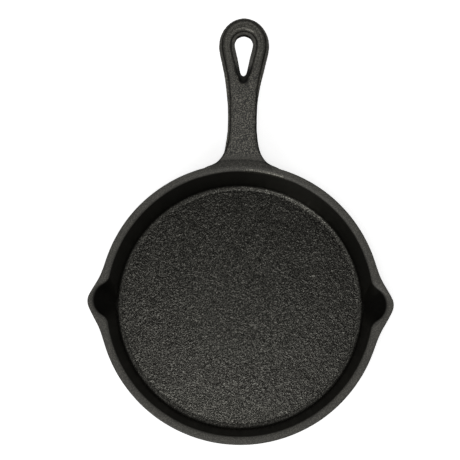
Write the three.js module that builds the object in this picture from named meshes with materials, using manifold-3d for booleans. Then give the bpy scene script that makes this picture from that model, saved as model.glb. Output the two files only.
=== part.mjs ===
// Small cast iron skillet: round bowl with two opposite pouring lips and a
// short flat handle that ends in an eye with a teardrop hanging hole.
// Millimetres, +Z up. The origin is the centre of the flat underside, the
// handle runs along +Y and the lips point along +X and -X.
//
// The pan is one casting. It is modelled as one body and then cut along flat
// planes and one round prism into named regions that meet face to face.

import * as THREE from "three";
import { mergeVertices } from "three/addons/utils/BufferGeometryUtils.js";
import { ConvexGeometry } from "three/addons/geometries/ConvexGeometry.js";
import Module from "manifold-3d";

const wasm = await Module();
wasm.setup();

// ---------------------------------------------------------------- dimensions
const SEGMENTS = 72; // facets around the bowl

const RIM_R = 80; // largest outer radius, just under the rim (16 cm pan)
const RIM_H = 25; // height of the rim above the table
const FLOOR_T = 4; // thickness of the cooking floor
const OUT_DRAFT = 10; // outer wall lean, degrees
const IN_DRAFT = 15.1; // inner wall lean, degrees
const IN_R_FLOOR = 70.1; // inner wall radius where it would meet the floor
const FLOOR_FILLET = 2.5; // inner fillet between floor and wall
const BASE_FILLET = 3.5; // outer rounding between underside and wall
const RIM_ROUND_OUT = 1.3; // rounding of the rim's outer edge
const RIM_ROUND_IN = 2; // rounding of the rim's inner edge

const LIP_TIP_R = 86.9; // centre of the pan to the tip of a lip
const LIP_TIP_ROUND = 8; // plan radius of the tip
const LIP_FLANK = 28.6; // slant of the lip's flanks, degrees
const LIP_FLANK_END_DEG = 14.4; // where a flank meets the rim circle, degrees
const LIP_FOOT_Z = 8; // height where the lip's outside leaves the wall
const TROUGH_R = 10.9; // plan radius of the trough at the rim
const TROUGH_C = 73.1; // centre of that circle
const TROUGH_FOOT_R = 4; // plan radius of the trough's lower end
const TROUGH_FOOT_C = 68; // centre of the lower end
const TROUGH_FOOT_Z = 10; // height of the lower end

const HANDLE_Y0 = 80; // where the handle leaves the rim circle
const HANDLE_INNER_R = 76; // its inner end, inside the thickness of the wall
const HANDLE_TOP_Z = 24.5; // handle's top face there, just under the rim
const HANDLE_T = 8.5; // handle thickness
const HANDLE_RISE = 4; // the handle climbs away from the bowl, degrees
const HANDLE_EDGE_IN = 1.8; // how far the edge rounding reaches in
const HANDLE_EDGE_DOWN = 3; // and how far down
// plan of the handle: [distance from the pan's centre, half width]
const HANDLE_PLAN = [
  [75.2, 25.0], [76.9, 22.8], [78.5, 20.3], [80.4, 16.4], [82.1, 13.9], [83.9, 12.4], [86.4, 10.9],
  [89.1, 9.9], [92.5, 9.1], [96, 8.55], [100, 8.15], [105, 8.05], [110, 8.1],
  [115, 8.35], [120, 8.85], [125, 9.6], [130, 10.45], [135, 11.5], [140, 12.6],
  [144, 13.6], [147.5, 14.1], [151, 14.0], [154, 13.4], [157, 12.1], [160, 9.9],
  [162.4, 7.5], [164.1, 4.4],
];
const HANDLE_END_Y = 164.9; // far end of the eye
// plan of the hanging hole: [distance from the pan's centre, half width]
const HOLE_PLAN = [
  [132.4, 1.7], [134.3, 2.4], [137.8, 3.15], [141.3, 3.93], [144.8, 4.75],
  [147.4, 5.2], [149.6, 5.25], [151.7, 4.65], [153.5, 3.2],
];
const HOLE_Y0 = 131.4; // narrow end of the hole
const HOLE_Y1 = 154.6; // round end of the hole

const FLOOR_CUT_R = 67; // floor disc: the flat part of the floor
const LIP_CUT_Y = 24; // half width of a lip region
const ROOT_CUT_Y = 81; // rear wall | handle root
const GRIP_CUT_Y = 96; // handle root | handle grip
const EYE_CUT_Y = 126; // handle grip | hanging eye

// ------------------------------------------------------------------- helpers
const rad = (d) => (d * Math.PI) / 180;

// closed three.js geometry -> solid
function solid(geometry) {
  const g = geometry.clone();
  for (const name of Object.keys(g.attributes)) {
    if (name !== "position") g.deleteAttribute(name);
  }
  const m = mergeVertices(g, 1e-4);
  const p = m.attributes.position.array;
  const index = m.index.array;
  const tris = [];
  let volume = 0;
  for (let i = 0; i < index.length; i += 3) {
    const [a, b, c] = [index[i], index[i + 1], index[i + 2]];
    if (a === b || b === c || c === a) continue;
    tris.push(a, b, c);
    const A = new THREE.Vector3().fromArray(p, 3 * a);
    const B = new THREE.Vector3().fromArray(p, 3 * b);
    const C = new THREE.Vector3().fromArray(p, 3 * c);
    volume += A.dot(B.cross(C)) / 6;
  }
  if (volume < 0) {
    for (let i = 0; i < tris.length; i += 3) [tris[i + 1], tris[i + 2]] = [tris[i + 2], tris[i + 1]];
  }
  return new wasm.Manifold(
    new wasm.Mesh({
      numProp: 3,
      vertProperties: new Float32Array(p),
      triVerts: new Uint32Array(tris),
    })
  );
}

// solid -> three.js geometry
function geometryOf(s) {
  const m = s.getMesh();
  const g = new THREE.BufferGeometry();
  const xyz = new Float32Array((m.vertProperties.length / m.numProp) * 3);
  for (let i = 0; i < xyz.length / 3; i++) {
    for (let k = 0; k < 3; k++) xyz[3 * i + k] = m.vertProperties[m.numProp * i + k];
  }
  g.setAttribute("position", new THREE.BufferAttribute(xyz, 3));
  g.setIndex(Array.from(m.triVerts));
  g.computeVertexNormals();
  return g;
}

function box(x0, x1, y0, y1, z0, z1) {
  const g = new THREE.BoxGeometry(x1 - x0, y1 - y0, z1 - z0);
  g.translate((x0 + x1) / 2, (y0 + y1) / 2, (z0 + z1) / 2);
  return solid(g);
}

// points of a plan or section arc, in n steps
function arc(cx, cy, r, a0, a1, n) {
  const out = [];
  for (let i = 0; i <= n; i++) {
    const a = rad(a0 + ((a1 - a0) * i) / n);
    out.push([cx + r * Math.cos(a), cy + r * Math.sin(a)]);
  }
  return out;
}

// corner of the rim before it is rounded, and the two wall lines
const RIM_CORNER_R = RIM_R - RIM_ROUND_OUT * (1 - Math.tan(rad((90 + OUT_DRAFT) / 2)));
const outerR = (z) => RIM_CORNER_R - (RIM_H - z) * Math.tan(rad(OUT_DRAFT));
const innerR = (z) => IN_R_FLOOR + (z - FLOOR_T) * Math.tan(rad(IN_DRAFT));

// ---------------------------------------------------------------------- bowl
// half section, from the centre of the underside round to the floor's centre
function bowlProfile() {
  const pts = [[0, 0]];
  // underside to outer wall
  const bt = BASE_FILLET * Math.tan(rad((90 - OUT_DRAFT) / 2));
  pts.push(...arc(outerR(0) - bt, BASE_FILLET, BASE_FILLET, -90, -OUT_DRAFT, 3));
  // outer wall to rim
  const ot = RIM_ROUND_OUT * Math.tan(rad((90 + OUT_DRAFT) / 2));
  pts.push(...arc(RIM_CORNER_R - ot, RIM_H - RIM_ROUND_OUT, RIM_ROUND_OUT, -OUT_DRAFT, 90, 3));
  // rim to inner wall
  const it = RIM_ROUND_IN * Math.tan(rad((90 - IN_DRAFT) / 2));
  pts.push(...arc(innerR(RIM_H) + it, RIM_H - RIM_ROUND_IN, RIM_ROUND_IN, 90, 180 - IN_DRAFT, 3));
  // inner wall to floor
  const ft = FLOOR_FILLET * Math.tan(rad((90 - IN_DRAFT) / 2));
  pts.push(...arc(IN_R_FLOOR - ft, FLOOR_T + FLOOR_FILLET, FLOOR_FILLET, -IN_DRAFT, -90, 4));
  pts.push([0, FLOOR_T]);
  return pts.map(([r, z]) => new THREE.Vector2(r, z));
}
const bowlGeometry = new THREE.LatheGeometry(bowlProfile(), SEGMENTS);
bowlGeometry.rotateX(Math.PI / 2);
const bowl = solid(bowlGeometry);

// ---------------------------------------------------------------------- lips
// outside of a lip at +X: flanks and round tip at the rim, running down to a
// narrow foot on the wall
function lipNose() {
  const pts = [];
  const end = [(RIM_R - 0.3) * Math.cos(rad(LIP_FLANK_END_DEG)), (RIM_R - 0.3) * Math.sin(rad(LIP_FLANK_END_DEG))];
  const ring = (inset, z) => {
    for (const [x, y] of arc(LIP_TIP_R - LIP_TIP_ROUND, 0, LIP_TIP_ROUND - inset, -LIP_FLANK, LIP_FLANK, 6)) {
      pts.push(new THREE.Vector3(x, y, z));
    }
    for (const s of [-1, 1]) pts.push(new THREE.Vector3(end[0] - inset * 0.9, s * (end[1] - inset * 0.3), z));
  };
  ring(0, RIM_H - RIM_ROUND_OUT);
  ring(RIM_ROUND_OUT * 0.29, RIM_H - RIM_ROUND_OUT * 0.29);
  ring(RIM_ROUND_OUT, RIM_H);
  for (const [x, y] of arc(outerR(LIP_FOOT_Z) - 5.2, 0, 5, -60, 60, 4)) {
    pts.push(new THREE.Vector3(x, y, LIP_FOOT_Z));
  }
  return solid(new ConvexGeometry(pts));
}

// hollow of a lip at +X: a leaning cone from the inner wall up to the rim,
// with a small chamfer round its mouth
function lipTrough() {
  const cone = [];
  const at = (z) => {
    const t = (z - TROUGH_FOOT_Z) / (RIM_H - TROUGH_FOOT_Z);
    return [TROUGH_FOOT_C + (TROUGH_C - TROUGH_FOOT_C) * t, TROUGH_FOOT_R + (TROUGH_R - TROUGH_FOOT_R) * t];
  };
  for (const z of [TROUGH_FOOT_Z, RIM_H + 2]) {
    const [c, r] = at(z);
    for (const [x, y] of arc(c, 0, r, 0, 345, 23)) cone.push(new THREE.Vector3(x, y, z));
  }
  const chamfer = [];
  for (const [z, grow] of [[RIM_H - 1.4, -0.2], [RIM_H + 0.2, 1.2]]) {
    const [c, r] = at(z);
    for (const [x, y] of arc(c, 0, r + grow, 0, 345, 23)) chamfer.push(new THREE.Vector3(x, y, z));
  }
  return solid(new ConvexGeometry(cone)).add(solid(new ConvexGeometry(chamfer)));
}

// -------------------------------------------------------------------- handle
// closed smooth outline from half-width stations, symmetric about x = 0
function outline(stations, yLow, yHigh, divisions) {
  const half = stations.map(([y, h]) => new THREE.Vector2(h, y));
  const right = [...half];
  if (yLow !== null) right.unshift(new THREE.Vector2(0, yLow));
  right.push(new THREE.Vector2(0, yHigh));
  const ctrl = [...right];
  const mirrored = right
    .slice(yLow !== null ? 1 : 0, -1)
    .reverse()
    .map((v) => new THREE.Vector2(-v.x, v.y));
  ctrl.push(...mirrored);
  if (yLow !== null) {
    ctrl.push(ctrl[0].clone());
    return new THREE.SplineCurve(ctrl).getPoints(divisions).slice(0, -1);
  }
  return new THREE.SplineCurve(ctrl).getPoints(divisions);
}

function handleBody() {
  // lengths along the handle are stretched so that its plan keeps the stations
  const k = 1 / Math.cos(rad(HANDLE_RISE));
  const along = (y) => HANDLE_Y0 + (y - HANDLE_Y0) * k;
  const plan = HANDLE_PLAN.map(([y, h]) => [along(y), h]);
  const hole = HOLE_PLAN.map(([y, h]) => [along(y), h]);
  const pts = outline(plan, null, along(HANDLE_END_Y), 96);
  // the inner end lies inside the thickness of the wall
  const a0 = Math.atan2(HANDLE_PLAN[0][0], HANDLE_PLAN[0][1]);
  const inner = arc(0, 0, HANDLE_INNER_R, 180 - (a0 * 180) / Math.PI, (a0 * 180) / Math.PI, 10);
  const shape = new THREE.Shape([...pts, ...inner.map(([x, y]) => new THREE.Vector2(x, y))]);
  shape.holes.push(new THREE.Path(outline(hole, along(HOLE_Y0), along(HOLE_Y1), 36)));
  const g = new THREE.ExtrudeGeometry(shape, {
    depth: HANDLE_T - 2 * HANDLE_EDGE_DOWN,
    steps: 1,
    bevelEnabled: true,
    bevelThickness: HANDLE_EDGE_DOWN,
    bevelSize: HANDLE_EDGE_IN,
    bevelOffset: -HANDLE_EDGE_IN,
    bevelSegments: 3,
    curveSegments: 1,
  });
  // top face at z = 0, hinge line at the root, then lean and lift
  g.translate(0, -HANDLE_Y0, -(HANDLE_T - HANDLE_EDGE_DOWN));
  g.rotateX(rad(HANDLE_RISE));
  g.translate(0, HANDLE_Y0, HANDLE_TOP_Z);
  return solid(g);
}

// gusset between the underside of the handle and the wall
function handleGusset() {
  const under = (y) => HANDLE_TOP_Z - HANDLE_T + (y - HANDLE_Y0) * Math.tan(rad(HANDLE_RISE));
  const pts = [];
  for (const s of [-1, 1]) {
    pts.push(new THREE.Vector3(s * 7, 76, 9));
    pts.push(new THREE.Vector3(s * 8, 76, under(78) + 2));
    pts.push(new THREE.Vector3(s * 6, 82, under(82) - 2.2));
    pts.push(new THREE.Vector3(s * 5, 91, under(91) + 0.4));
    pts.push(new THREE.Vector3(s * 6, 91, under(91) + 2));
  }
  return solid(new ConvexGeometry(pts));
}

// ------------------------------------------------------------------- casting
const half = new THREE.Matrix4().makeRotationZ(Math.PI);
const turned = (s) => {
  const g = geometryOf(s);
  g.applyMatrix4(half);
  return solid(g);
};
const nose = lipNose();
const trough = lipTrough();
const casting = bowl
  .add(handleBody())
  .add(handleGusset())
  .add(nose)
  .add(turned(nose))
  .subtract(trough)
  .subtract(turned(trough));

// ------------------------------------------------------------------- regions
const far = 300;
const discGeometry = new THREE.CylinderGeometry(FLOOR_CUT_R, FLOOR_CUT_R, 4 * RIM_H, SEGMENTS);
discGeometry.rotateX(Math.PI / 2);
const disc = solid(discGeometry);
const ring = casting.subtract(disc);
const slab = (y0, y1) => ring.intersect(box(-far, far, y0, y1, -far, far));
const lips = slab(-LIP_CUT_Y, LIP_CUT_Y);

const regions = {
  cooking_floor: casting.intersect(disc),
  front_wall: slab(-far, -LIP_CUT_Y),
  rear_wall: slab(LIP_CUT_Y, ROOT_CUT_Y),
  left_pouring_lip: lips.intersect(box(-far, 0, -far, far, -far, far)),
  right_pouring_lip: lips.intersect(box(0, far, -far, far, -far, far)),
  handle_root: slab(ROOT_CUT_Y, GRIP_CUT_Y),
  handle_grip: slab(GRIP_CUT_Y, EYE_CUT_Y),
  hanging_eye: slab(EYE_CUT_Y, far),
};

// dark seasoned iron: the floor is rough and paler, the walls are smooth
const finishes = {
  cooking_floor: { color: 0x3a3937, roughness: 0.62 },
  front_wall: { color: 0x1d1c1b, roughness: 0.5 },
  rear_wall: { color: 0x1d1c1b, roughness: 0.5 },
  left_pouring_lip: { color: 0x232221, roughness: 0.5 },
  right_pouring_lip: { color: 0x232221, roughness: 0.5 },
  handle_root: { color: 0x343331, roughness: 0.58 },
  handle_grip: { color: 0x363533, roughness: 0.6 },
  hanging_eye: { color: 0x363533, roughness: 0.6 },
};

const pan = new THREE.Group();
for (const [name, body] of Object.entries(regions)) {
  const mesh = new THREE.Mesh(
    geometryOf(body),
    new THREE.MeshStandardMaterial({ ...finishes[name], metalness: 0.6 })
  );
  mesh.name = name;
  pan.add(mesh);
}

export default pan;
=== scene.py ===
"""Small cast iron skillet: one casting with a round bowl, two pouring lips and a
flat handle that ends in an eye.

The skin of the casting is built as one smooth surface with true fillets, given
its cast grain, and then parted into the named regions of the frame."""
import math

import bpy
import numpy as np
from mathutils import Matrix, Vector


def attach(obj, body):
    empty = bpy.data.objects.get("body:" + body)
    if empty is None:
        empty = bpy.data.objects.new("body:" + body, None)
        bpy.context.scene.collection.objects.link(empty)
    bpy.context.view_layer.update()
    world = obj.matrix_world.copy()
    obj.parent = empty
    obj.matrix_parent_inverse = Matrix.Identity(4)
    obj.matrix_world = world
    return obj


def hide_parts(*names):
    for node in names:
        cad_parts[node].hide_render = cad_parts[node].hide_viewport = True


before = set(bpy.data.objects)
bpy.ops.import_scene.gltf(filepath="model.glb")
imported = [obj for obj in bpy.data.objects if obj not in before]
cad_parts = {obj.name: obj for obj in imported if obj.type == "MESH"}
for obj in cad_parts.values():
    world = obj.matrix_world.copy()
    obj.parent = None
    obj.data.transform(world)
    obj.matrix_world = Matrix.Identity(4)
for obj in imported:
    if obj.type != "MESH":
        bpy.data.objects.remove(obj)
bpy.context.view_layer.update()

MM = 0.001
rad = math.radians

# --------------------------------------------------------------- dimensions, mm
RIM_R = 80.2           # largest outer radius, just under the rim
RIM_H = 25.0           # rim above the table
FLOOR_T = 4.0          # floor thickness
OUT_DRAFT = rad(10.0)
IN_DRAFT = rad(15.1)
IN_R_FLOOR = 70.1     # inner wall line at the floor
FLOOR_FILLET = (2.2, 2.9)     # smallest to the right of the handle, largest opposite
BASE_FILLET = 3.5
RIM_ROUND_OUT = 1.3
RIM_ROUND_IN = 1.9

# radial swell of a lip at the rim, by angle from the lip's axis (degrees)
LIP_DEG = (0, 1, 2, 3, 4, 6, 8, 10, 12, 14, 16, 18, 20, 22)
LIP_OUT = (6.95, 6.85, 6.5, 5.95, 5.3, 4.05, 2.86, 1.78, 0.97, 0.47, 0.2, 0.06, 0.0, 0.0)
LIP_FOOT_Z = 6.5       # the swell dies out down the wall here
TROUGH = {-1: (10.4, 73.95, 0.9), 1: (10.8, 73.15, 0.0)}     # plan circle of each trough at the rim
TROUGH_FOOT_R, TROUGH_FOOT_C, TROUGH_FOOT_Z = 4.0, 68.0, 9.0
TROUGH_CORNER = 3.0    # rounding where the trough meets the inner wall
CORE_X, CORE_Y = -0.05, 0.10     # the mould's core for the hollow sits a little off the middle

HANDLE_Y0 = 80.0
HANDLE_TOP_Z = 24.5
HANDLE_RISE = math.tan(rad(4.0))
HANDLE_EDGE = 1.1      # rounding of the handle's lower edges
HANDLE_SHOULDER = 2.4  # rounding of its upper edges
HANDLE_DRAFT = rad(14.0)
HANDLE_PLAN = (        # distance from the pan's centre, half width
    (78.5, 20.3), (80.4, 16.4), (82.1, 13.9), (83.9, 12.4), (85.6, 11.3), (87.3, 10.45),
    (89.1, 9.87), (90.8, 9.47), (92.5, 9.1), (94.3, 8.78), (96.0, 8.55), (97.8, 8.36),
    (99.5, 8.2), (101.2, 8.1), (104.7, 8.04), (108.2, 8.06), (111.6, 8.15), (115.1, 8.33),
    (118.6, 8.68), (122.1, 9.12), (125.6, 9.62), (129.0, 10.22), (132.5, 10.95), (136.0, 11.72),
    (139.5, 12.5), (143.0, 13.35), (146.5, 13.98), (149.0, 14.13), (151.8, 13.9), (153.5, 13.52),
    (155.3, 12.95), (157.0, 12.15), (158.75, 11.05), (160.5, 9.65), (162.3, 7.65), (163.9, 4.75),
)
HANDLE_END_Y = 164.9
HOLE_PLAN = (
    (132.3, 1.72), (134.3, 2.42), (136.0, 2.76), (137.8, 3.16), (139.5, 3.55), (141.3, 3.93),
    (143.0, 4.33), (144.8, 4.72), (146.5, 5.06), (148.2, 5.26), (150.0, 5.15), (151.8, 4.55),
    (153.5, 3.2),
)
HOLE_Y0, HOLE_Y1 = 131.35, 154.6
HOLE_DRAFT = rad(2.0)

CELL = 0.46            # size of the skin's facets
FLOOR_CUT_R = 67.0
LIP_CUT_Y, ROOT_CUT_Y, GRIP_CUT_Y, EYE_CUT_Y = 24.0, 81.0, 96.0, 126.0


# --------------------------------------------------------------- implicit shape
def meet(a, b, r):
    """Common part of two shapes, with a convex edge rounded to radius r."""
    u, v = np.maximum(a + r, 0.0), np.maximum(b + r, 0.0)
    return np.minimum(-r, np.maximum(a, b)) + np.sqrt(u * u + v * v)


def join(a, b, r):
    """Both shapes together, with a concave fillet of radius r."""
    u, v = np.maximum(r - a, 0.0), np.maximum(r - b, 0.0)
    return np.maximum(r, np.minimum(a, b)) - np.sqrt(u * u + v * v)


def spline(points, n):
    """Smooth closed curve through the points (Catmull-Rom), n points in all."""
    p = np.asarray(points, float)
    k = len(p)
    t = np.linspace(0, k, n, endpoint=False)
    i = np.floor(t).astype(int)
    f = (t - i)[:, None]
    a, b, c, d = p[(i - 1) % k], p[i % k], p[(i + 1) % k], p[(i + 2) % k]
    return 0.5 * (2 * b + (c - a) * f + (2 * a - 5 * b + 4 * c - d) * f**2 + (3 * b - a - 3 * c + d) * f**3)


def signed_distance(x, y, poly):
    """Distance in plan to a closed outline, negative inside."""
    best = np.full(x.shape, 1e12)
    inside = np.zeros(x.shape, bool)
    for (ax, ay), (bx, by) in zip(poly, np.roll(poly, -1, axis=0)):
        ex, ey = bx - ax, by - ay
        wx, wy = x - ax, y - ay
        t = np.clip((wx * ex + wy * ey) / (ex * ex + ey * ey), 0.0, 1.0)
        dx, dy = wx - ex * t, wy - ey * t
        np.minimum(best, dx * dx + dy * dy, out=best)
        if ay != by:
            inside ^= ((ay <= y) != (by <= y)) & (wx < wy * ex / ey)
    d = np.sqrt(best)
    return np.where(inside, -d, d)


class Plan:
    """Signed distance in plan to an outline that is the same left and right, as a fine table."""

    def __init__(self, outline, x1, y0, y1, pitch):
        self.y0, self.pitch = y0, pitch
        gx = np.arange(0.0, x1 + pitch, pitch)
        gy = np.arange(y0, y1 + pitch, pitch)
        x, y = np.meshgrid(gx, gy, indexing="ij")
        self.table = signed_distance(x.ravel(), y.ravel(), outline).reshape(x.shape)

    def __call__(self, x, y):
        u = np.abs(x) / self.pitch
        v = (y - self.y0) / self.pitch
        i = np.clip(u.astype(int), 0, self.table.shape[0] - 2)
        j = np.clip(v.astype(int), 0, self.table.shape[1] - 2)
        f, g, t = u - i, v - j, self.table
        return (t[i, j] * (1 - f) + t[i + 1, j] * f) * (1 - g) + (t[i, j + 1] * (1 - f) + t[i + 1, j + 1] * f) * g


lip_deg = np.linspace(0.0, 90.0, 1801)
lip_out = np.interp(lip_deg, LIP_DEG, LIP_OUT)
kernel = np.exp(-0.5 * (np.arange(-60, 61) * 0.05 / 0.75) ** 2)
mirrored = np.concatenate([lip_out[60:0:-1], lip_out, np.zeros(60)])
lip_out = np.convolve(mirrored, kernel / kernel.sum(), "valid")
lip_slope = np.gradient(lip_out, np.radians(lip_deg))

right_side = [(h, y) for y, h in HANDLE_PLAN]
handle_outline = spline(
    [(26.0, 60.0), (26.2, 66.0), (26.0, 71.5), (23.6, 75.8)]
    + right_side
    + [(0.0, HANDLE_END_Y)]
    + [(-h, y) for h, y in reversed(right_side)]
    + [(-23.6, 75.8), (-26.0, 71.5), (-26.2, 66.0), (-26.0, 60.0), (0.0, 58.0)],
    420,
)
hole_right = [(h, y) for y, h in HOLE_PLAN]
hole_outline = spline(
    [(0.0, HOLE_Y0)] + hole_right + [(0.0, HOLE_Y1)] + [(-h, y) for h, y in reversed(hole_right)], 220
)
handle_plan = Plan(handle_outline, 34.0, 60.0, 170.0, 0.15)
hole_plan = Plan(hole_outline, 16.0, 120.0, 168.0, 0.12)


def bowl_outside(x, y, z, rho):
    """Drafted round wall that swells into the two lips, with rim and base roundings."""
    narrow = np.where(x < 0, np.where(y > 0, 1.20, 1.09), np.where(y > 0, 1.12, 1.02))     # hand-cut lips
    deg = np.minimum(np.degrees(np.arctan2(np.abs(y), np.abs(x))) * narrow, 90.0)
    t = np.clip((z - LIP_FOOT_Z) / (RIM_H - 1.0 - LIP_FOOT_Z), 0.0, 1.0)
    fade = 0.45 * t + 0.55 * t * t * (3 - 2 * t)
    reach = np.where(x < 0, 0.93, 1.0)
    swell = np.interp(deg, lip_deg, lip_out) * reach
    slope = np.interp(deg, lip_deg, lip_slope) * reach * narrow * fade / np.maximum(rho, 20.0)
    corner = RIM_R - RIM_ROUND_OUT * (1 - math.tan((math.pi / 2 + OUT_DRAFT) / 2))
    wall = rho - (corner - (RIM_H - z) * math.tan(OUT_DRAFT) + swell * fade)
    lean = math.tan(OUT_DRAFT) + swell * 0.055
    wall = wall / np.sqrt(1.0 + lean * lean + slope * slope)
    d = meet(wall, z - RIM_H, RIM_ROUND_OUT)
    return meet(d, -z, BASE_FILLET)


def hollow(x, y, z):
    """Inside of the bowl and the troughs of both lips."""
    rho = np.hypot(x - CORE_X, y - CORE_Y)
    wall = (rho - (IN_R_FLOOR + (z - FLOOR_T) * math.tan(IN_DRAFT))) * math.cos(IN_DRAFT)
    turn = 0.5 - 0.5 * (x * math.cos(rad(55.0)) + y * math.sin(rad(55.0))) / np.maximum(rho, 1.0)
    d = meet(wall, FLOOR_T - z, FLOOR_FILLET[0] + (FLOOR_FILLET[1] - FLOOR_FILLET[0]) * turn)
    t = (z - TROUGH_FOOT_Z) / (RIM_H - TROUGH_FOOT_Z)
    for side, (rim_r, rim_c, rim_y) in TROUGH.items():
        c = TROUGH_FOOT_C + (rim_c - TROUGH_FOOT_C) * t
        r = TROUGH_FOOT_R + (rim_r - TROUGH_FOOT_R) * t
        trough = (np.hypot(side * x - c, y - rim_y * t) - r) * 0.85
        trough = np.maximum(trough, TROUGH_FOOT_Z - 1.0 - z)
        d = join(d, trough, TROUGH_CORNER)
    return d


def handle_top(y):
    return HANDLE_TOP_Z + (y - HANDLE_Y0) * HANDLE_RISE


def handle_thick(y):
    return np.interp(y, (78, 92, 108, 130, 150, 165), (9.2, 8.7, 8.4, 8.4, 8.6, 8.4))


def parting(x, y):
    """Height of the handle's top and of the mould's parting line under it."""
    rho = np.hypot(x, y)
    top = handle_top(y) - 0.45 * (1 - step(84.0, 110.0, y))
    top = top + (RIM_H - top) * (1 - step(80.4, 83.0, rho))     # steps up to the rim
    return top, top - 0.5 * handle_thick(y)


def handle(x, y, z):
    """Flat handle from a mould in two halves: a round-shouldered upper half on a slightly wider
    lower half, which leaves a ledge at the parting line, outside and in the hanging hole."""
    half = 0.5 * handle_thick(y)
    up = z - parting(x, y)[1]
    above, below = np.maximum(up, 0.0), np.maximum(-up, 0.0)
    eye, root = step(106.0, 132.0, y), step(84.0, 94.0, y)
    lean = 0.40 * step(118.0, 136.0, y)
    low = handle_plan(x + (0.25 - lean) * root, y + 0.15 * eye) - (0.32 + 0.08 * eye) * root
    low = (low + math.tan(HANDLE_DRAFT) * below) * math.cos(HANDLE_DRAFT)
    ledge = np.full(y.shape, 0.1)
    far = y > 122.0
    xf, yf, af, bf = x[far], y[far], above[far], below[far]
    ring = hole_plan(xf, yf)
    ledge[far] += 1.8 * (1 - step(2.4, 3.2, ring)) * step(136.0, 141.0, yf)      # higher round the hole
    lower = meet(meet(low, -up - half, HANDLE_EDGE), up - ledge, 0.35)
    high = handle_plan(x - (0.2 - 0.05 * eye) * root, y - 0.5 * eye) + (0.3 + 0.75 * eye) * root
    high = (high + math.tan(rad(10.0)) * above + math.tan(HANDLE_DRAFT) * below) * math.cos(rad(12.0))
    face = np.abs(up) - half
    end = step(142.0, 152.0, yf)
    throat = (hole_plan(np.abs(xf) + 0.4 * (1 - end), yf - 0.6 * end) - math.tan(HOLE_DRAFT) * bf) * math.cos(HOLE_DRAFT)
    mouth = ring - 1.5 - 0.3 * end - math.tan(rad(8.0)) * af
    notch = (np.hypot(xf, yf - np.clip(yf, 129.3, 133.0)) - 1.3 - 0.42 * af) * 0.92     # thumb notch
    mouth = join(mouth, notch, 1.0)
    # the top is crowned, more on the eye, which is highest midway between its outside and the hole
    w = 1 - np.clip(-high / 4.5, 0.0, 1.0)
    face += 0.45 * root * w * w * (1 - step(130.0, 141.0, y))
    w = 1 - np.clip(np.minimum(-high[far], ring - 1.5) / 2.8, 0.0, 1.0)
    face[far] += 1.15 * w * w * step(130.0, 141.0, yf)
    lower[far] = meet(lower[far], -throat, 0.35)
    upper = meet(high, face, 1.2 + (HANDLE_SHOULDER - 1.2) * root)
    upper[far] = meet(upper[far], -mouth, 1.5 + 0.9 * (1 - step(132.0, 140.0, yf)))
    return join(upper, lower, 0.3)


def gusset(x, y, z):
    """Rounded rib that carries the handle's underside into the wall."""
    ax, ay, az, bx, by, bz = 0.0, 75.5, 12.6, 0.0, 90.5, 18.4
    ex, ey, ez = bx - ax, by - ay, bz - az
    t = np.clip(((y - ay) * ey + (z - az) * ez) / (ey * ey + ez * ez), 0.0, 1.0)
    r = 4.6 - 1.9 * t
    return np.sqrt((np.abs(x) * 0.62) ** 2 + (y - ay - ey * t) ** 2 + (z - az - ez * t) ** 2) - r


def casting(p):
    """Signed distance to the skin of the casting, in millimetres, at points p."""
    x, y, z = p[:, 0], p[:, 1], p[:, 2]
    rho = np.hypot(x, y)
    d = bowl_outside(x, y, z, rho)
    near = y > 66.0
    if near.any():
        xn, yn, zn = x[near], y[near], z[near]
        h = join(handle(xn, yn, zn), gusset(xn, yn, zn), 3.5)
        d[near] = join(d[near], h, 0.05 + 2.55 * (1 - step(20.0, 23.6, zn)))
    return meet(d, -hollow(x, y, z), RIM_ROUND_IN)


def gradient(fn, p, e):
    g = np.empty_like(p)
    for k in range(3):
        step = np.zeros(3)
        step[k] = e
        g[:, k] = (fn(p + step) - fn(p - step)) / (2 * e)
    return g


# ------------------------------------------------------------------- cast grain
def lattice(i, j, k, salt):
    """Repeatable pseudo-random number in -1..1 for each lattice point."""
    n = (i * 73856093) ^ (j * 19349663) ^ (k * 83492791) ^ (salt * 2654435761)
    n = (n ^ (n >> 13)) * 1274126177
    n = n & 0x7FFFFFFF
    n = ((n ^ (n >> 15)) * 668265263) & 0x7FFFFFFF
    return n / 1073741823.5 - 1.0


def noise(p, size, salt):
    """Smooth value noise with bumps about `size` millimetres apart."""
    q = p / size
    b = np.floor(q).astype(np.int64)
    f = q - b
    f = f * f * f * (f * (6 * f - 15) + 10)
    out = 0.0
    for dx in (0, 1):
        for dy in (0, 1):
            for dz in (0, 1):
                w = (
                    (f[:, 0] if dx else 1 - f[:, 0])
                    * (f[:, 1] if dy else 1 - f[:, 1])
                    * (f[:, 2] if dz else 1 - f[:, 2])
                )
                out = out + w * lattice(b[:, 0] + dx, b[:, 1] + dy, b[:, 2] + dz, salt)
    return out


def step(a, b, v):
    t = np.clip((v - a) / (b - a), 0.0, 1.0)
    return t * t * (3 - 2 * t)


def grain_weight(p):
    """Where the sand's grain stands in the skin: floor, shank, outside; little on the rim and the eye."""
    x, y, z = p[:, 0], p[:, 1], p[:, 2]
    rho = np.hypot(x, y)
    floor = (1 - step(70.0, 71.4, rho)) * (1 - step(4.9, 6.2, z)) * step(1.5, 3.0, z)
    grip = step(82.2, 86.5, y) * step(81.4, 85.0, rho) * (1 - 0.72 * step(128.0, 142.0, y))
    grip = grip * step(2.4, 3.4, np.hypot(x, y - np.clip(y, 128.9, 136.0)))     # the notch is smooth
    rim = 0.4 * step(23.4, 24.5, z) * step(74.5, 76.0, rho)
    outside = step(73.5, 76.0, rho - 0.176 * (z - 4)) * (1 - step(21.0, 23.5, z)) * 0.5
    outside = outside * (1 - step(0.3, 1.0, -bowl_outside(x, y, z, rho)))
    under = (1 - step(0.2, 1.5, z)) * 0.5
    return np.maximum(np.maximum(np.maximum(floor, grip), rim), np.maximum(outside, under))


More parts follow.
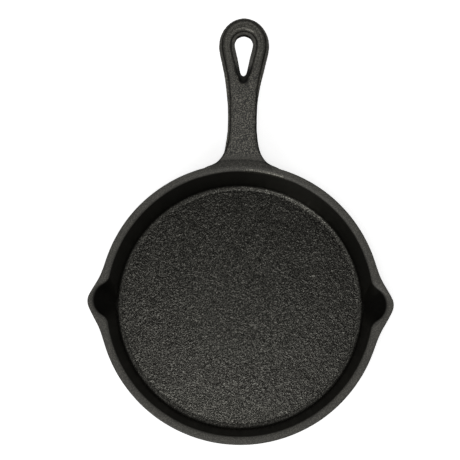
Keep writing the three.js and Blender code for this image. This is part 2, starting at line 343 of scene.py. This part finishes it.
def hole_shade_weight(p):
    """Painted shade: the notch and the walls of the hanging hole are made near black, where they lie in shade."""
    x, y = p[:, 0], p[:, 1]
    hole_shade = np.zeros(len(p))
    eye = np.flatnonzero((y > 124.0) & (np.abs(x) < 9.0))
    if len(eye):
        q = p[eye]
        g = gradient(casting, q, 0.05)
        tilt = np.abs(g[:, 2]) / np.linalg.norm(g, axis=1)
        top, part = parting(q[:, 0], q[:, 1])
        wall = (1 - step(0.35, 0.7, tilt)) * (1 - step(0.8, 1.4, hole_plan(q[:, 0], q[:, 1])))
        deep = step(0.7, 1.9, top - q[:, 2]) * step(-0.4, 0.0, q[:, 2] - part) * (1 - step(134.0, 139.0, q[:, 1]))
        deep = deep * (1 - step(5.5, 6.5, np.abs(q[:, 0]))) * step(124.0, 125.5, q[:, 1])
        hole_shade[eye] = np.maximum(0.6 * wall, 0.65 * deep)
    return hole_shade


def rim_glint_patch(p):
    """A patch on the rim's inner edge beside the handle, given a brighter, glossier film where the lamp's glint falls:
    a painted highlight.
    """
    x, y, z = p[:, 0], p[:, 1], p[:, 2]
    az, rho = np.degrees(np.arctan2(y, x)), np.hypot(x, y)
    along = step(68.0, 74.0, az) * (1 - step(87.5, 91.0, az))
    return along * (1 - step(76.8, 77.6, rho)) * step(74.6, 75.6, rho) * step(22.0, 23.5, z)


def film_shade_and_glint_weight(p):
    """Where the oil film is thick and black: inside the bowl up to the rim's inner edge. The same dark film is
    also painted shade on the steep upper sides of the handle, in the notch and on the walls of the hole, and in
    the crease at the handle's root; it is a painted highlight on a patch of the rim's inner edge, and lies a little on
    the eye."""
    x, y, z = p[:, 0], p[:, 1], p[:, 2]
    rho = np.hypot(x, y)
    # the film is a little thinner up the wall, away from the lips, so the wall is lighter towards the rim and darker
    # at its foot: painted shade
    lip = step(60.0, 68.0, np.abs(x)) * (1 - step(9.0, 15.0, np.abs(y)))
    film = step(0.3, 1.7, -bowl_outside(x, y, z, rho)) * (1 - 0.10 * step(7.0, 22.0, z) * (1 - lip))
    # glossy film on the rim's patch is a painted highlight, and dark film under the hole's near-black colour is
    # painted shade
    film = np.maximum(film, rim_glint_patch(p))
    film = np.maximum(film, hole_shade_weight(p))
    # a band of dark film along the crease where the handle's root meets the rim: painted shade
    root_crease_shade = 0.45 * step(77.4, 79.4, rho) * (1 - step(81.6, 83.4, rho)) + 0.35 * np.exp(-(((rho - 82.0) / 0.7) ** 2))
    film = np.maximum(film, root_crease_shade * (1 - step(14.0, 22.0, np.abs(x))) * step(70.0, 75.0, y) * step(21.0, 23.0, z))
    on = y > 80.5
    if on.any():
        q = p[on]
        g = gradient(casting, q, 0.05)
        tilt = g[:, 2] / np.linalg.norm(g, axis=1)
        top, part = parting(q[:, 0], q[:, 1])
        # dark film on the handle's steep upper sides gives dark lines along its edges: painted shade
        steep_side_shade = (1 - step(0.30, 0.80, tilt)) * step(0.2, 1.4, q[:, 2] - part) * step(80.5, 87.0, q[:, 1])
        film[on] = np.maximum(film[on], np.maximum(steep_side_shade, 0.75 * bright_film_and_glint_weight(q)))
    return film


def bright_film_and_glint_weight(p):
    """Where the film is lighter, more reflective and speckled: the top of the eye, and the patch on the rim's inner
    edge, which is a painted highlight; the bright specks stand for glints, painted highlights.
    """
    y = p[:, 1]
    eye = step(130.0, 142.0, y) * step(2.2, 3.0, p[:, 2] - parting(p[:, 0], y)[1])
    return np.maximum(eye, rim_glint_patch(p))


def grain(p):
    """Height of the cast grain, in millimetres."""
    w = grain_weight(p)
    fine = noise(p, 1.05, 3)
    mid = noise(p + 17.3, 1.9, 7)
    wide = noise(p + 5.1, 14.0, 11)
    pebble = 0.6 * fine + 0.55 * mid
    pebble = np.where(pebble > 0, pebble, 0.6 * pebble)
    return w * 0.055 * pebble + 0.05 * wide


def grained(p):
    return casting(p) - grain(p)


# -------------------------------------------------------------------- the skin
def surface_nets(f, origin, cell):
    """Quad mesh of the zero level of a grid of values."""
    nx, ny, nz = f.shape
    low = f < 0
    spots, owners, quads = [], [], []
    for ax in range(3):
        a = [slice(None)] * 3
        b = [slice(None)] * 3
        a[ax], b[ax] = slice(0, -1), slice(1, None)
        a, b = tuple(a), tuple(b)
        cross = low[a] != low[b]
        at = np.argwhere(cross)
        fa, fb = f[a][cross], f[b][cross]
        spot = at.astype(float)
        spot[:, ax] += fa / (fa - fb)
        u, v = ((1, 2), (2, 0), (0, 1))[ax]
        ring = []
        for du, dv in ((-1, -1), (0, -1), (0, 0), (-1, 0)):
            c = at.copy()
            c[:, u] += du
            c[:, v] += dv
            flat = (c[:, 0] * (ny - 1) + c[:, 1]) * (nz - 1) + c[:, 2]
            ring.append(flat)
            owners.append(flat)
            spots.append(spot)
        q = np.stack(ring, 1)
        back = ~low[a][cross]
        q[back] = q[back][:, ::-1]
        quads.append(q)
    owners, spots = np.concatenate(owners), np.concatenate(spots)
    cells, inverse = np.unique(owners, return_inverse=True)
    count = np.bincount(inverse)
    verts = np.stack([np.bincount(inverse, spots[:, k]) / count for k in range(3)], 1)
    return origin + verts * cell, np.searchsorted(cells, np.concatenate(quads))


def build_skin(cell):
    lo = np.array([-89.0, -82.2, -1.7])
    hi = np.array([89.0, 167.2, 31.6])
    n = np.ceil((hi - lo) / cell).astype(int) + 1
    xs, ys, zs = (lo[k] + cell * np.arange(n[k]) for k in range(3))
    f = np.empty(n, np.float32)
    zz = np.tile(zs, n[0])
    xx = np.repeat(xs, n[2])
    for j in range(n[1]):
        f[:, j, :] = casting(np.stack([xx, np.full(xx.shape, ys[j]), zz], 1)).reshape(n[0], n[2])
    verts, quads = surface_nets(f, lo, cell)
    edges = np.concatenate([quads[:, [0, 1]], quads[:, [1, 2]], quads[:, [2, 3]], quads[:, [3, 0]]])
    for turn in range(3):
        if turn:  # even out the facets along the surface
            total = np.stack(
                [np.bincount(edges[:, 0], verts[edges[:, 1], k], len(verts)) for k in range(3)], 1
            ) + np.stack([np.bincount(edges[:, 1], verts[edges[:, 0], k], len(verts)) for k in range(3)], 1)
            count = np.bincount(edges.ravel(), minlength=len(verts))
            verts = verts + 0.6 * (total / count[:, None] - verts)
        for _ in range(2):
            g = gradient(casting, verts, 0.02)
            length = np.maximum((g * g).sum(1), 0.05)
            move = g * (casting(verts) / length)[:, None]
            verts = verts - np.clip(move, -0.4 * cell, 0.4 * cell)
    g = gradient(casting, verts, 0.02)
    g /= np.linalg.norm(g, axis=1)[:, None]
    return verts + g * grain(verts)[:, None], quads


def mesh_object(name, verts, faces):
    me = bpy.data.meshes.new(name)
    me.from_pydata([tuple(v) for v in verts], [], [tuple(f) for f in faces])
    me.update()
    ob = bpy.data.objects.new(name, me)
    bpy.context.scene.collection.objects.link(ob)
    return ob


def prism(name, outline, z0=-20.0, z1=60.0):
    """Closed upright prism over a counter-clockwise outline, in millimetres."""
    k = len(outline)
    verts = [(x * MM, y * MM, z * MM) for z in (z0, z1) for x, y in outline]
    faces = [tuple(range(k - 1, -1, -1)), tuple(range(k, 2 * k))]
    faces += [(i, (i + 1) % k, k + (i + 1) % k, k + i) for i in range(k)]
    return mesh_object(name, verts, faces)


def rectangle(x0, x1, y0, y1):
    return [(x0, y0), (x1, y0), (x1, y1), (x0, y1)]


def part_out(name, source, cuts):
    """Region of the skin: source cut with each (operation, cutter) in turn."""
    ob = bpy.data.objects.new(name, source.data.copy())
    ob.data.name = name
    bpy.context.scene.collection.objects.link(ob)
    for operation, cutter in cuts:
        m = ob.modifiers.new("cut", "BOOLEAN")
        m.operation, m.solver, m.object = operation, "MANIFOLD", cutter
    bpy.context.view_layer.update()
    dg = bpy.context.evaluated_depsgraph_get()
    me = bpy.data.meshes.new_from_object(ob.evaluated_get(dg))
    old = ob.data
    ob.modifiers.clear()
    ob.data = me
    me.name = name
    bpy.data.meshes.remove(old)
    return ob


def thin_out(ob, keep):
    """Fewer facets on the flat underside, which has no detail that needs them."""
    me = ob.data
    co = np.empty(len(me.vertices) * 3)
    me.vertices.foreach_get("co", co)
    co = co.reshape(-1, 3) / MM
    under = (co[:, 2] < 0.4) & (np.hypot(co[:, 0], co[:, 1]) < FLOOR_CUT_R - 1.5)
    ends = np.empty(len(me.edges) * 2, np.int32)
    me.edges.foreach_get("vertices", ends)
    me.vertices.foreach_set("select", under)
    me.edges.foreach_set("select", under[ends.reshape(-1, 2)].all(axis=1))
    me.polygons.foreach_set("select", np.array([under[list(f.vertices)].all() for f in me.polygons]))
    bpy.ops.object.select_all(action="DESELECT")
    ob.select_set(True)
    bpy.context.view_layer.objects.active = ob
    bpy.ops.object.mode_set(mode="EDIT")
    bpy.ops.mesh.decimate(ratio=keep)
    bpy.ops.object.mode_set(mode="OBJECT")


def shade(ob):
    """Smooth shading from the shape itself, so that the regions join without a seam."""
    me = ob.data
    nv, nl, nf = len(me.vertices), len(me.loops), len(me.polygons)
    co = np.empty(nv * 3)
    me.vertices.foreach_get("co", co)
    co = co.reshape(-1, 3) / MM
    corner = np.empty(nl, np.int32)
    me.loops.foreach_get("vertex_index", corner)
    start, total = np.empty(nf, np.int32), np.empty(nf, np.int32)
    me.polygons.foreach_get("loop_start", start)
    me.polygons.foreach_get("loop_total", total)
    face_n = np.empty(nf * 3)
    me.polygons.foreach_get("normal", face_n)
    face_n = face_n.reshape(-1, 3)
    owner = np.repeat(np.arange(nf), total)
    n = gradient(grained, co, 0.22)
    n /= np.linalg.norm(n, axis=1)[:, None]
    loop_n = n[corner]
    # a face of a cut keeps its own flat normal
    centre = np.stack([np.bincount(owner, co[corner, k], nf) / total for k in range(3)], 1)
    flat = np.abs(casting(centre)) > 0.35
    mean = np.stack([np.bincount(owner, loop_n[:, k], nf) for k in range(3)], 1)
    mean /= np.maximum(np.linalg.norm(mean, axis=1), 1e-9)[:, None]
    flat |= (mean * face_n).sum(1) < 0.3
    use = flat[owner]
    loop_n[use] = face_n[owner][use]
    me.polygons.foreach_set("use_smooth", np.ones(nf, bool))
    me.normals_split_custom_set(loop_n.tolist())
    me.update()
    return int(flat.sum()), nf


# ------------------------------------------------------------------- materials
def iron(name, film_rough, dry_rough):
    """Seasoned cast iron. The oil film is thick, black and glossy inside the bowl, and thin over
    the rim, the handle and the outside, where the iron is duller and greyer. Sand grain stands
    where the casting has it."""
    mat = bpy.data.materials.new(name)
    mat.use_nodes = True
    nt = mat.node_tree
    nt.nodes.clear()

    def node(kind, label=None, **values):
        n = nt.nodes.new(kind)
        if label:
            n.name = n.label = label
        for key, value in values.items():
            setattr(n, key, value)
        return n

    def link(a, b):
        nt.links.new(a, b)

    def math_node(op, a, b=None, clamp=False):
        n = node("ShaderNodeMath", operation=op, use_clamp=clamp)
        for k, v in enumerate((a, b)):
            if v is None:
                continue
            if isinstance(v, (int, float)):
                n.inputs[k].default_value = v
            else:
                link(v, n.inputs[k])
        return n.outputs[0]

    def spread(label, value, lo, hi, a, b):
        n = node("ShaderNodeMapRange", label, clamp=True)
        link(value, n.inputs["Value"])
        for key, v in (("From Min", lo), ("From Max", hi), ("To Min", a), ("To Max", b)):
            n.inputs[key].default_value = v
        return n.outputs["Result"]

    def ramp(label, value, *stops):
        n = node("ShaderNodeValToRGB", label)
        n.color_ramp.elements[0].position, n.color_ramp.elements[1].position = stops[0][0], stops[-1][0]
        n.color_ramp.elements[0].color = stops[0][1] + (1,)
        n.color_ramp.elements[1].color = stops[-1][1] + (1,)
        for at, colour in stops[1:-1]:
            n.color_ramp.elements.new(at).color = colour + (1,)
        link(value, n.inputs["Fac"])
        return n.outputs["Color"]

    out = node("ShaderNodeOutputMaterial")
    bsdf = node("ShaderNodeBsdfPrincipled", "iron")
    link(bsdf.outputs[0], out.inputs["Surface"])
    bsdf.inputs["IOR"].default_value = 1.5
    bsdf.inputs["Specular IOR Level"].default_value = 0.5
    bsdf.inputs["Specular Tint"].default_value = (1.0, 0.99, 0.96, 1.0)     # oil film, a little brown

    coord = node("ShaderNodeTexCoord")
    scale = node("ShaderNodeVectorMath", operation="SCALE")
    link(coord.outputs["Object"], scale.inputs[0])
    scale.inputs["Scale"].default_value = 1000.0
    mm = scale.outputs[0]
    grain_at = node("ShaderNodeAttribute", attribute_name="grain").outputs["Fac"]
    film_shade_and_glint_at = node("ShaderNodeAttribute", attribute_name="film").outputs["Fac"]
    bright_film_and_glint_at = node("ShaderNodeAttribute", attribute_name="bright_film_and_glint").outputs["Fac"]
    hole_shade_at = node("ShaderNodeAttribute", attribute_name="hole_shade").outputs["Fac"]

    def noise_tex(label, size, detail=2.0, rough=0.5, off=0.0):
        n = node("ShaderNodeTexNoise", label, noise_dimensions="3D")
        add = node("ShaderNodeVectorMath", operation="ADD")
        link(mm, add.inputs[0])
        add.inputs[1].default_value = (off, 2 * off, -off)
        link(add.outputs[0], n.inputs["Vector"])
        n.inputs["Scale"].default_value = 1.0 / size
        n.inputs["Detail"].default_value = detail
        n.inputs["Roughness"].default_value = rough
        return n.outputs["Fac"]

    blotch = noise_tex("blotch", 24.0, 3.0, 0.55, 3.0)
    patch = noise_tex("patch", 6.0, 2.0, 0.5, 11.0)
    sand = noise_tex("sand", 0.62, 0.0, 0.5, 23.0)
    dust = noise_tex("dust", 0.42, 1.0, 0.5, 31.0)

    def blend(label, factor, a, b):
        n = node("ShaderNodeMix", label, data_type="RGBA")
        link(factor, n.inputs["Factor"])
        link(a, n.inputs["A"])
        link(b, n.inputs["B"])
        return n.outputs["Result"]

    def tone(label, value, green, blue, *stops):
        return ramp(label, value, *((at, (v, green * v, blue * v)) for at, v in stops))

    # colour: the film mirrors a few per cent of the light; on the grain it is darkest in the pits, a painted shade,
    # and brightest on the tips, partly wear and partly painted highlight; the dry iron is grey, its grain with painted
    # shade in the pits and painted highlights on the tips; smooth places are a little uneven
    uneven = math_node("ADD", math_node("MULTIPLY", blotch, 0.6), math_node("MULTIPLY", patch, 0.4))
    film_smooth = tone("film_smooth", uneven, 0.98, 0.885, (0.3, 0.022), (0.7, 0.028))
    sharp = math_node("ADD", math_node("MULTIPLY", sand, 0.7), math_node("MULTIPLY", dust, 0.3))
    film_grain_shade_and_glint = tone("film_grain_shade_and_glint", sharp, 0.975, 0.86, (0.34, 0.016), (0.485, 0.038), (0.585, 0.058), (0.69, 0.13))
    dry_smooth = tone("dry_smooth", uneven, 0.95, 0.79, (0.3, 0.032), (0.7, 0.040))
    mixed = math_node("ADD", math_node("MULTIPLY", sand, 0.6), math_node("MULTIPLY", dust, 0.4))
    dry_grain_shade_and_glint = tone("dry_grain_shade_and_glint", mixed, 0.95, 0.79, (0.41, 0.004), (0.49, 0.026), (0.557, 0.066), (0.63, 0.14))
    # a lighter film with bright specks for the top of the eye and the rim's patch; the specks are painted glints, and
    # on the rim the whole patch is a painted highlight
    glint_speckled_film = tone("glint_speckled_film", sand, 0.97, 0.85, (0.36, 0.06), (0.52, 0.095), (0.68, 0.18))
    film = blend("film", grain_at, film_smooth, film_grain_shade_and_glint)
    film = blend("film_bright_and_glint", bright_film_and_glint_at, film, glint_speckled_film)
    dry = blend("dry", grain_at, dry_smooth, dry_grain_shade_and_glint)
    # near-black colour laid on the walls and notch of the hole: painted shade
    black = tone("hole_shade", uneven, 0.97, 0.9, (0.3, 0.006), (0.7, 0.010))
    link(blend("hole_shaded", hole_shade_at, blend("film_on_iron", film_shade_and_glint_at, dry, film), black), bsdf.inputs["Base Color"])
    link(film_shade_and_glint_at, bsdf.inputs["Metallic"])

    # gloss: the film is glossier than the dry iron, and uneven
    gloss = spread("gloss", film_shade_and_glint_at, 0.0, 1.0, dry_rough - 0.05, film_rough - 0.05)
    scuff = math_node("ADD", math_node("MULTIPLY", patch, 0.05), math_node("MULTIPLY", dust, 0.05))
    dull = math_node("ADD", scuff, math_node("MULTIPLY", hole_shade_at, 0.55))
    link(math_node("ADD", gloss, dull, clamp=True), bsdf.inputs["Roughness"])

    # relief: rounded sand grains, then a fine tooth all over
    tooth = node("ShaderNodeBump", "tooth")
    tooth.inputs["Distance"].default_value = 0.00002
    tooth.inputs["Strength"].default_value = 0.35
    link(dust, tooth.inputs["Height"])
    bump = node("ShaderNodeBump", "grains")
    bump.inputs["Distance"].default_value = 0.0001
    link(sand, bump.inputs["Height"])
    link(grain_at, bump.inputs["Strength"])
    link(tooth.outputs["Normal"], bump.inputs["Normal"])
    link(bump.outputs["Normal"], bsdf.inputs["Normal"])
    return mat


grained_iron = iron("grained_iron", 0.30, 0.54)
smooth_iron = iron("smooth_iron", 0.30, 0.54)

# -------------------------------------------------------------------- the parts
skin_verts, skin_quads = build_skin(CELL)
skin = mesh_object("skin", skin_verts * MM, skin_quads)

ring = [
    (FLOOR_CUT_R * math.cos(math.tau * k / 180), FLOOR_CUT_R * math.sin(math.tau * k / 180))
    for k in range(180)
]
cut_floor = prism("cut_floor", ring)
cut_left = prism("cut_left", rectangle(-120, -20, -LIP_CUT_Y, LIP_CUT_Y))
cut_right = prism("cut_right", rectangle(20, 120, -LIP_CUT_Y, LIP_CUT_Y))
cut_front = prism("cut_front", rectangle(-120, 120, -120, -LIP_CUT_Y))
cut_rear = prism("cut_rear", rectangle(-120, 120, LIP_CUT_Y, ROOT_CUT_Y))
cut_root = prism("cut_root", rectangle(-60, 60, ROOT_CUT_Y, GRIP_CUT_Y))
cut_grip = prism("cut_grip", rectangle(-60, 60, GRIP_CUT_Y, EYE_CUT_Y))
cut_eye = prism("cut_eye", rectangle(-60, 60, EYE_CUT_Y, 220))

regions = (
    ("cooking_floor", grained_iron, [("INTERSECT", cut_floor)]),
    ("front_wall", smooth_iron, [("INTERSECT", cut_front), ("DIFFERENCE", cut_floor)]),
    ("rear_wall", smooth_iron, [("INTERSECT", cut_rear), ("DIFFERENCE", cut_floor)]),
    ("left_pouring_lip", smooth_iron, [("INTERSECT", cut_left), ("DIFFERENCE", cut_floor)]),
    ("right_pouring_lip", smooth_iron, [("INTERSECT", cut_right), ("DIFFERENCE", cut_floor)]),
    ("handle_root", grained_iron, [("INTERSECT", cut_root)]),
    ("handle_grip", grained_iron, [("INTERSECT", cut_grip)]),
    ("hanging_eye", grained_iron, [("INTERSECT", cut_eye)]),
)
for node_name, material, cuts in regions:
    piece = part_out("iron_" + node_name, skin, cuts)
    if node_name == "cooking_floor":
        thin_out(piece, 0.2)
    shade(piece)
    points = np.empty(len(piece.data.vertices) * 3)
    piece.data.vertices.foreach_get("co", points)
    points = points.reshape(-1, 3) / MM
    # besides the oil film and the grain, these attributes carry painted shade on the handle's steep sides, in the
    # hole, its notch and the root's crease, and a painted highlight on the rim's inner edge
    for name, weight in (("grain", grain_weight), ("film", film_shade_and_glint_weight), ("bright_film_and_glint", bright_film_and_glint_weight), ("hole_shade", hole_shade_weight)):
        piece.data.attributes.new(name, "FLOAT", "POINT").data.foreach_set("value", weight(points).astype(np.float32))
    piece.data.materials.clear()
    piece.data.materials.append(material)
    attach(piece, "root")
    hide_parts(node_name)
    print("piece", piece.name, len(piece.data.polygons), "faces",
          sum(len(f.vertices) - 2 for f in piece.data.polygons), "triangles")

for helper in (skin, cut_floor, cut_left, cut_right, cut_front, cut_rear, cut_root, cut_grip, cut_eye):
    old = helper.data
    bpy.data.objects.remove(helper)
    bpy.data.meshes.remove(old)

# ------------------------------------------------------------- floor, light, view
floor = mesh_object("floor", [(-4, -4, 0), (4, -4, 0), (4, 4, 0), (-4, 4, 0)], [(0, 1, 2, 3)])
paper = bpy.data.materials.new("paper")
paper.use_nodes = True
shader = paper.node_tree.nodes["Principled BSDF"]
shader.inputs["Base Color"].default_value = (0.86, 0.86, 0.86, 1)
shader.inputs["Roughness"].default_value = 0.9
shader.inputs["Specular IOR Level"].default_value = 0.1
shader.inputs["Emission Color"].default_value = (1, 1, 1, 1)
shader.inputs["Emission Strength"].default_value = 0.58
floor.data.materials.append(paper)
floor.visible_glossy = False

# light tent: pale sides, dark overhead, a soft light beside the camera and one low at the left
world = bpy.data.worlds.new("studio")
bpy.context.scene.world = world
world.use_nodes = True
tent = world.node_tree
background = tent.nodes["Background"]
background.inputs["Color"].default_value = (1, 1, 1, 1)
view = tent.nodes.new("ShaderNodeTexCoord")
split = tent.nodes.new("ShaderNodeSeparateXYZ")
rise = tent.nodes.new("ShaderNodeValToRGB")
levels = ((0.0, 0.0), (0.02, 0.5), (0.35, 0.5), (0.6, 0.81), (0.82, 0.77), (0.96, 0.0))     # by height, level to straight up
rise.color_ramp.elements[0].position, rise.color_ramp.elements[1].position = levels[0][0], levels[-1][0]
rise.color_ramp.elements[0].color = (levels[0][1],) * 3 + (1,)
rise.color_ramp.elements[1].color = (levels[-1][1],) * 3 + (1,)
for at, level in levels[1:-1]:
    rise.color_ramp.elements.new(at).color = (level,) * 3 + (1,)
tent.links.new(view.outputs["Generated"], split.inputs[0])
tent.links.new(split.outputs["Z"], rise.inputs["Fac"])
seen = tent.nodes.new("ShaderNodeMix")     # the backdrop itself is pale all over
tent.links.new(tent.nodes.new("ShaderNodeLightPath").outputs["Is Camera Ray"], seen.inputs["Factor"])
tent.links.new(rise.outputs["Color"], seen.inputs["A"])
seen.inputs["B"].default_value = 0.95
tent.links.new(seen.outputs["Result"], background.inputs["Strength"])


def softbox(name, azimuth, zenith, distance, size, radiance):
    """Round soft light that faces the pan from a direction, in degrees and metres."""
    a, z = rad(azimuth), rad(zenith)
    aim = Vector((0.0, 0.03, 0.02))
    at = aim + distance * Vector((math.sin(z) * math.cos(a), math.sin(z) * math.sin(a), math.cos(z)))
    data = bpy.data.lights.new(name, "AREA")
    data.shape = "DISK"
    data.size = size
    data.energy = radiance * math.pi * math.pi * (size / 2) ** 2
    ob = bpy.data.objects.new(name, data)
    ob.location = at
    ob.rotation_euler = (at - aim).to_track_quat("Z", "Y").to_euler()
    ob.visible_camera = False
    bpy.context.scene.collection.objects.link(ob)
    return ob


softbox("camera_side", 258.0, 9.5, 1.2, 0.40, 5.2)
softbox("low_left", 240.0, 55.0, 1.2, 0.60, 4.0)

# the camera stands almost straight above, a little to the front
EL, AZ, ROLL = rad(81.4992), rad(1.2191), rad(-0.3469)
TARGET, DISTANCE, FOCAL_PX = Vector((-6.3597, 41.4121, 25.0)) * MM, 1100.0 * MM, 1931.993
back = Vector((math.sin(AZ) * math.cos(EL), -math.cos(AZ) * math.cos(EL), math.sin(EL)))
side = (-back).cross(Vector((-math.sin(AZ), math.cos(AZ), 0.0))).normalized()
upward = side.cross(-back)
right = side * math.cos(ROLL) + upward * math.sin(ROLL)
upward = upward * math.cos(ROLL) - side * math.sin(ROLL)
cam = bpy.data.objects.new("camera", bpy.data.cameras.new("camera"))
bpy.context.scene.collection.objects.link(cam)
cam.data.sensor_width = 36.0
cam.data.lens = FOCAL_PX / 460.0 * 36.0
cam.data.clip_start, cam.data.clip_end = 0.01, 50.0
eye = TARGET + back * DISTANCE
cam.matrix_world = Matrix((
    (right.x, upward.x, back.x, eye.x),
    (right.y, upward.y, back.y, eye.y),
    (right.z, upward.z, back.z, eye.z),
    (0, 0, 0, 1),
))
bpy.context.scene.camera = cam
bpy.context.scene.view_settings.view_transform = "Standard"
bpy.context.scene.view_settings.look = "None"

bpy.context.view_layer.update()
